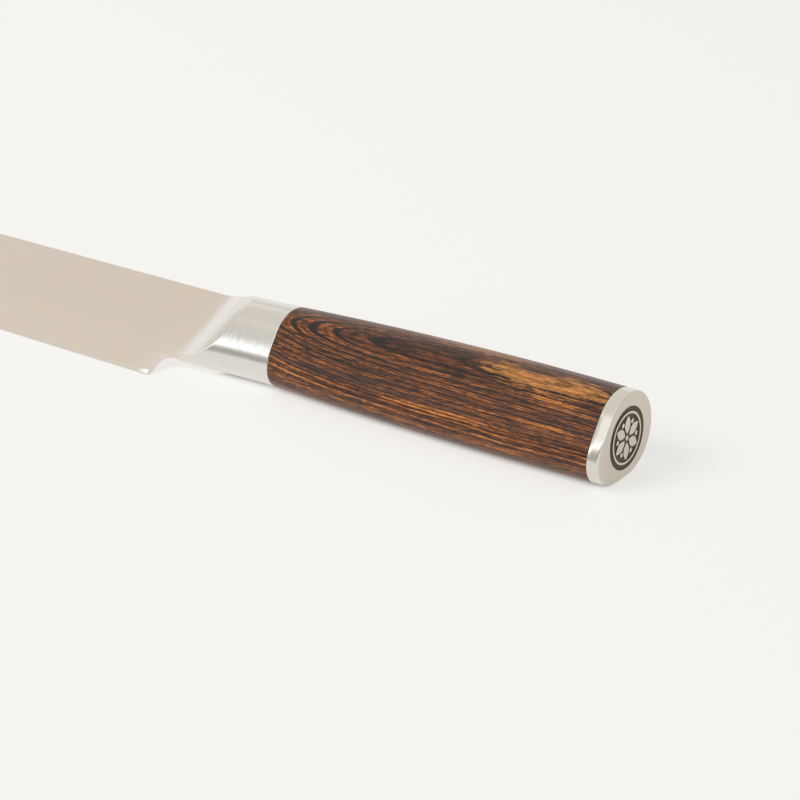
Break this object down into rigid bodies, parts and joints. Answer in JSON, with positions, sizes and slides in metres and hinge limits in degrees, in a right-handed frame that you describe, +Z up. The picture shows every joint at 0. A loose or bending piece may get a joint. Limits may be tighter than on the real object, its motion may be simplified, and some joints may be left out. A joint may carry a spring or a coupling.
{
  "type": "carving knife",
  "caption": "Slicing knife with a long pointed blade, scooped steel bolster, laminated dark wood handle on a hidden tang, and a steel end cap. It lies on its side.",
  "frame": {"origin": "on the table, under the middle of the knife's box as it lies on its right side", "axes": "+X towards the tip, +Y towards the cutting edge, +Z up, away from the table"},
  "size_m": [0.3421, 0.0325, 0.0226],
  "materials": {
    "blade_steel": "satin, ground across the blade",
    "bolster_steel": "satin, brushed round the handle",
    "cap_steel": "satin, with a dark etched disc in its recess",
    "laminated_wood": "dark brown and black veneers, semi-gloss",
    "plain_steel": "machined",
    "resin": "cured resin"
  },
  "bodies": {
    "root": {"blade": "blade_steel", "bolster": "bolster_steel", "tang_rod": "plain_steel", "handle_block": "laminated_wood", "tang_bedding": "resin", "rod_washer": "plain_steel", "rod_nut": "plain_steel", "end_cap": "cap_steel", "cap_pins": "plain_steel"}
  },
  "joints": []
}
